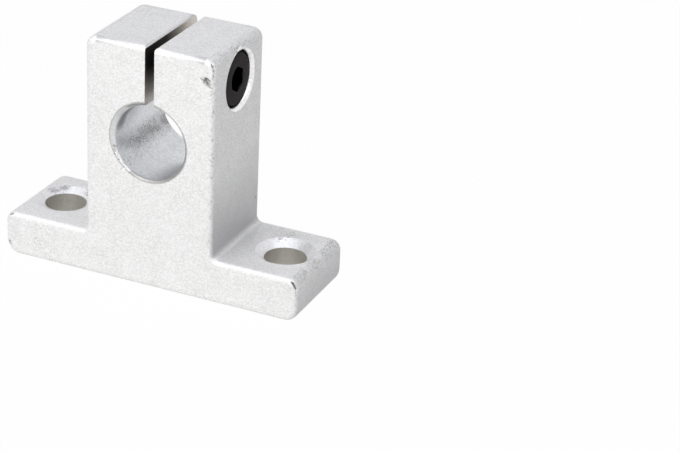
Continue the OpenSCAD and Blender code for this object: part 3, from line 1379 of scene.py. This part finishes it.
@dataclass
class ClampScrew:
    """The socket-head screw across the split, turned along its own Z first."""

    axis_z: float
    tip_x: float
    top_x: float
    head_radius: float
    head_height: float = 4.0 * MM
    head_bevel: float = 0.15 * MM
    thread_radius: float = 1.95 * MM
    root_radius: float = 1.55 * MM
    tip_bevel: float = 0.35 * MM
    core_end: float = 0.9 * MM
    neck_length: float = 0.5 * MM
    neck_fillet: float = 0.12 * MM
    neck_step: float = 0.05 * MM
    pitch: float = 0.7 * MM
    top_round: float = 0.3 * MM
    socket_flats: float = 3.0 * MM
    socket_depth: float = 2.0 * MM
    socket_inset: float = 0.1 * MM
    knurl_depth: float = 0.07 * MM
    knurl_count: int = 48

    @classmethod
    def from_frame(cls) -> "ClampScrew":
        """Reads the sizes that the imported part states."""
        low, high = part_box("clamp_screw")
        return cls(
            axis_z=frame["joints"][0]["pos_m"][2],
            tip_x=low.x,
            top_x=high.x,
            head_radius=(high.y - low.y) / 2,
        )

    @property
    def seat_x(self) -> float:
        """Where the underside of the head lies."""
        return self.top_x - self.head_height

    @property
    def rim(self) -> float:
        """The head's radius under its knurl."""
        return self.head_radius - self.knurl_depth

    @property
    def corner(self) -> float:
        """From the screw's axis to the socket's corners."""
        return self.socket_flats / 2 / math.cos(math.pi / 6)

    def section(self) -> list[tuple[float, float]]:
        """Half section of the head and the shank's core, as (radius, x)."""
        arc = [
            (
                self.rim - self.top_round * (1 - math.cos(math.radians(a))),
                self.top_x - self.top_round * (1 - math.sin(math.radians(a))),
            )
            for a in range(0, 91, 15)
        ]
        neck = self.thread_radius - self.neck_step
        return [
            (0.0, self.tip_x),
            (self.root_radius - self.tip_bevel, self.tip_x),
            (self.root_radius, self.tip_x + self.tip_bevel),
            (self.root_radius, self.seat_x - self.core_end),
            (neck, self.seat_x - self.neck_length),
            (neck, self.seat_x - self.neck_fillet),
            (self.thread_radius + self.neck_step, self.seat_x),
            (self.rim - self.head_bevel, self.seat_x),
            (self.rim, self.seat_x + self.head_bevel),
            *arc,
            (0.0, self.top_x),
        ]

    def turned_body(self) -> Mesh:
        """Head and core, revolved about Z and then given the socket."""
        bm = bmesh.new()
        points = [bm.verts.new((r, 0.0, x)) for r, x in self.section()]
        edges = [bm.edges.new(pair) for pair in zip(points, points[1:])]
        turn = {"cent": (0, 0, 0), "axis": (0, 0, 1), "angle": math.tau, "steps": 96}
        bmesh.ops.spin(bm, geom=points + edges, **turn)
        bmesh.ops.remove_doubles(bm, verts=bm.verts, dist=WELD)
        bmesh.ops.recalc_face_normals(bm, faces=bm.faces)
        return self.with_socket(as_mesh(bm, "screw_body"))

    def with_socket(self, body: Mesh) -> Mesh:
        """Cuts the hexagon socket, its drill point and its small chamfer.

        Args:
            body: The turned body.

        Returns:
            The body with its socket.
        """
        over = 0.5 * MM
        bm = bmesh.new()
        hexagon = [
            (self.corner * math.cos(a), self.corner * math.sin(a))
            for a in (math.tau * i / 6 for i in range(6))
        ]
        floor = self.top_x - self.socket_depth
        low = [bm.verts.new((x, y, floor)) for x, y in hexagon]
        high = [bm.verts.new((x, y, self.top_x + over)) for x, y in hexagon]
        drilled = self.socket_flats / 2 * math.tan(math.pi / 6)
        point = bm.verts.new((0, 0, floor - drilled))
        bm.faces.new(high)
        for i in range(6):
            j = (i + 1) % 6
            bm.faces.new((low[i], low[j], high[j], high[i]))
            bm.faces.new((low[j], low[i], point))
        bmesh.ops.recalc_face_normals(bm, faces=bm.faces)
        key = as_mesh(bm, "socket_key")
        inset = self.socket_inset
        low, high = self.corner - inset - 0.6 * MM, self.corner - inset + 0.4 * MM
        chamfer = cone(low, high, 96, Matrix.Translation((0, 0, self.top_x - inset)))
        return without(without(body, key), chamfer)

    def mark_socket(self, mesh: Mesh) -> None:
        """Writes the attribute hollow: 1 inside the socket, where the finish paints shade.

        Args:
            mesh: The screw's mesh, still turned along Z.
        """
        layer = mesh.attributes.new("hollow", "FLOAT", "FACE")
        floor = self.top_x - self.socket_depth - 1.0 * MM
        ceiling = self.top_x - 0.2 * MM
        for face, value in zip(mesh.polygons, layer.data):
            inside = math.hypot(face.center.x, face.center.y) < self.corner
            if inside and floor < face.center.z < ceiling:
                value.value = 1.0

    @staticmethod
    def knurl_tree() -> Tree:
        """Geometry tree of the straight knurl round the head.

        Returns:
            The tree. Its ridges stand on a circle of Radius about Z.
        """
        sizes = map(Port, ("Radius", "Depth", "Height"))
        ports = [Port("Ridges", "NodeSocketInt"), *sizes]
        sheet = GroupSheet(
            "straight_knurl", "GeometryNodeTree", [*ports, FINISH], [GEOMETRY]
        )
        size = sheet.given
        inputs = {"Vertices": size["Ridges"], "Radius": size["Radius"]}
        ring = sheet.add("GeometryNodeMeshCircle", inputs)
        ridge = sheet.add(
            "GeometryNodeMeshCylinder",
            {"Vertices": 4, "Radius": size["Depth"], "Depth": size["Height"]},
        )
        stretched = sheet.add(
            "GeometryNodeTransform", {"Geometry": ridge, "Scale": (1.0, 2.4, 1.0)}
        )
        step = sheet.math("DIVIDE", math.tau, size["Ridges"])
        turn = sheet.times(sheet.add("GeometryNodeInputIndex"), step)
        facing = sheet.add("ShaderNodeCombineXYZ", {2: turn})
        rotation = sheet.add("FunctionNodeEulerToRotation", {0: facing})
        copies = sheet.add(
            "GeometryNodeInstanceOnPoints",
            {"Points": ring, "Instance": stretched, "Rotation": rotation},
        )
        return sheet.end({"Geometry": sheet.painted(sheet.real(copies), size["Finish"])})

    def build(self, ridge: Tree, finish: Material) -> Piece:
        """Builds the screw and puts it on its body.

        Args:
            ridge: The tree that sweeps a thread.
            finish: Its material.

        Returns:
            The piece.
        """
        thread = grown(
            ridge,
            {
                "Root Radius": self.root_radius,
                "Crest Radius": self.thread_radius,
                "Pitch": self.pitch,
                "Length": self.seat_x - 0.7 * MM - self.tip_x,
                "Root Width": 0.62 * MM,
                "Crest Width": 0.12 * MM,
                "Run Out Turns": 0.8,
                "Finish": finish,
            },
        )
        thread.transform(Matrix.Translation((0, 0, self.tip_x + 0.25 * MM)))
        knurl = grown(
            self.knurl_tree(),
            {
                "Ridges": self.knurl_count,
                "Radius": self.rim,
                "Depth": self.knurl_depth,
                "Height": self.head_height - self.top_round - 0.5 * MM,
                "Finish": finish,
            },
        )
        middle = self.seat_x + (self.head_height - self.top_round) / 2
        knurl.transform(Matrix.Translation((0, 0, middle)))
        mesh = joined([self.turned_body(), thread, knurl], finish)
        self.mark_socket(mesh)
        place = Matrix.Translation((0, 0, self.axis_z))
        finish_shell(mesh, place @ Matrix.Rotation(math.pi / 2, 4, "Y"))
        piece = placed("black_clamp_screw", mesh)
        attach(piece, "screw")
        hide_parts("clamp_screw")
        return piece


def joined(meshes: Sequence[Mesh], finish: Material) -> Mesh:
    """One mesh that holds all of these, with one finish.

    Args:
        meshes: The parts.
        finish: The material.

    Returns:
        The joined mesh.
    """
    bm = bmesh.new()
    for mesh in meshes:
        bm.from_mesh(mesh)
    for face in bm.faces:
        face.material_index = 0
    result = as_mesh(bm, "joined")
    result.materials.append(finish)
    return result


# ----------------------------------------------------------------- The studio


@dataclass(frozen=True)
class Lamp:
    """One soft lamp, aimed at the object's middle."""

    name: str
    azimuth: float
    elevation: float
    power: float
    size: float
    colour: Colour
    reach: float = 0.5


@dataclass
class Studio:
    """White floor and surround, soft lamps and the camera."""

    azimuth: float = 22.71
    elevation: float = 25.83
    roll: float = 2.8
    distance: float = 289.9 * MM
    lens: float = 120.59
    aim: Vector = Vector((21.36 * MM, 4.63 * MM, 8.88 * MM))
    floor_half: float = 1.5
    floor_tone: float = 0.8
    floor_glow: float = 0.98
    surround: float = 0.3
    surround_colour: Colour = (0.95, 0.97, 1.0)
    lamps: tuple[Lamp, ...] = (
        Lamp("key_lamp", -22.0, 28.0, 2.02, 0.6, (1.0, 0.99, 0.97)),
        Lamp("top_lamp", 10.0, 82.0, 0.6, 0.6, (0.74, 0.77, 1.0)),
        Lamp("side_lamp", 62.0, 42.0, 0.011, 0.04, (1.0, 0.98, 0.95), reach=0.1),
    )

    @staticmethod
    def direction(azimuth: float, elevation: float) -> Vector:
        """Unit vector from the object towards a place round it, in degrees."""
        turn, lift = math.radians(azimuth), math.radians(elevation)
        flat = math.cos(lift)
        return Vector((math.sin(turn) * flat, -math.cos(turn) * flat, math.sin(lift)))

    @staticmethod
    def hang(item: Piece, target: Vector, out: Vector, reach: float) -> None:
        """Hangs an item away from its target and turns it back to it.

        Args:
            item: The lamp or camera.
            target: What it looks at.
            out: The unit vector from the target towards it.
            reach: Its distance.
        """
        item.location = target + out * reach
        item.rotation_mode = "QUATERNION"
        item.rotation_quaternion = (-out).to_track_quat("-Z", "Y")

    def place_camera(self) -> None:
        """Sets the scene's camera."""
        data = bpy.data.cameras.new("camera")
        data.lens = self.lens
        data.clip_start, data.clip_end = 0.01, 10.0
        camera = placed("camera", data)
        out = self.direction(self.azimuth, self.elevation)
        self.hang(camera, self.aim, out, self.distance)
        roll = Quaternion((0, 0, 1), math.radians(self.roll))
        camera.rotation_quaternion = camera.rotation_quaternion @ roll
        bpy.context.scene.camera = camera

    def hang_lamps(self) -> None:
        """Hangs the lamps round the object."""
        low, high = CAD_BOX
        for lamp in self.lamps:
            data = bpy.data.lights.new(lamp.name, "AREA")
            data.shape = "DISK"
            data.size, data.energy, data.color = lamp.size, lamp.power, lamp.colour
            out = self.direction(lamp.azimuth, lamp.elevation)
            self.hang(placed(lamp.name, data), (low + high) / 2, out, lamp.reach)

    @staticmethod
    def seen(sheet: NodeSheet) -> Socket:
        """1 for rays of the camera, of reflections and through glass, else 0."""
        rays = sheet.node("ShaderNodeLightPath").outputs
        glossy, through = rays["Is Glossy Ray"], rays["Is Transmission Ray"]
        mirrored = sheet.math("MAXIMUM", glossy, through)
        return sheet.math("MAXIMUM", rays["Is Camera Ray"], mirrored)

    def light_surround(self) -> None:
        """Gives the world its even light and its white look."""
        world = bpy.data.worlds.new("surround")
        world.use_nodes = True
        sheet = NodeSheet(world.node_tree)
        seen = self.seen(sheet)
        look = {
            "Color": sheet.tint(seen, self.surround_colour, WHITE),
            "Strength": sheet.mix(seen, self.surround, 1.0),
        }
        sheet.feed(world.node_tree.nodes["Background"].inputs, look)
        bpy.context.scene.world = world

    def lay_floor(self) -> None:
        """Lays the floor. It looks white and still takes a faint shadow."""
        bm = bmesh.new()
        bmesh.ops.create_grid(bm, x_segments=8, y_segments=8, size=self.floor_half)
        floor = placed("floor", as_mesh(bm, "floor"))
        material, sheet, shader = blank_material("floor_paper")
        paper = {"Base Color": (self.floor_tone,) * 3, "Roughness": 0.9}
        sheet.feed(shader.inputs, {**paper, "Specular IOR Level": 0.0})
        glow = sheet.add("ShaderNodeEmission", {"Color": WHITE})
        share = sheet.times(self.seen(sheet), self.floor_glow)
        inputs = {0: share, 1: shader.outputs[0], 2: glow}
        surface = sheet.add("ShaderNodeMixShader", inputs)
        output = material.node_tree.nodes["Material Output"]
        sheet.feed(output.inputs, {"Surface": surface})
        floor.data.materials.append(material)

    def set_up(self) -> None:
        """Builds the whole studio."""
        bpy.context.scene.view_settings.view_transform = "Standard"
        self.place_camera()
        self.hang_lamps()
        self.light_surround()
        self.lay_floor()


# -------------------------------------------------------- Everything in order


def report(piece: Piece) -> None:
    """Logs a piece's name and how many triangles it has."""
    triangles = sum(len(face.vertices) - 2 for face in piece.data.polygons)
    log.info("%s: %d triangles", piece.name, triangles)


FINISHES: dict[Face, Metal] = {
    Face.BLASTED: BlastedAluminium(),
    Face.BORED: CutAluminium(
        "bored_aluminium_finish",
        Axis.Y,
        (0.94, 0.96, 0.98),
        dark=(0.3, 0.292, 0.303),
        sparkle=0.3,
        speck=0.2 * MM,
    ),
    Face.COUNTERBORED: CutAluminium(
        "counterbored_aluminium_finish",
        Axis.X,
        (0.98, 0.98, 0.98),
        metallic=1.0,
        roughness=0.25,
    ),
    # The drilled walls' darker colour is partly painted shade inside the holes.
    Face.DRILLED: CutAluminium("drilled_aluminium_finish", Axis.Z, (0.68, 0.655, 0.61)),
    # Its near-black dark colour is what the painted shade in the saw cut darkens to.
    Face.SAWN: CutAluminium(
        "sawn_aluminium_finish", Axis.Z, (0.85, 0.8, 0.75), dark=(0.06, 0.055, 0.05)
    ),
    Face.CHAMFERED: CutAluminium(
        "chamfered_aluminium_finish", Axis.Y, (0.84, 0.84, 0.85), streak=0.1
    ),
}


def main() -> None:
    """Builds the studio and every piece, in order."""
    logging.basicConfig(level=logging.INFO)
    Studio().set_up()
    effects = Effects()
    finishes = {kind: metal.material(effects) for kind, metal in FINISHES.items()}
    ridge = helical_ridge()
    screw = ClampScrew.from_frame()
    block = SupportBlock.from_frame()
    report(block.build(finishes))
    report(block.build_tapped_thread(ridge, finishes[Face.COUNTERBORED], screw.tip_x))
    report(screw.build(ridge, BlackOxideSteel().material(effects)))


if __name__ == "__main__":
    main()
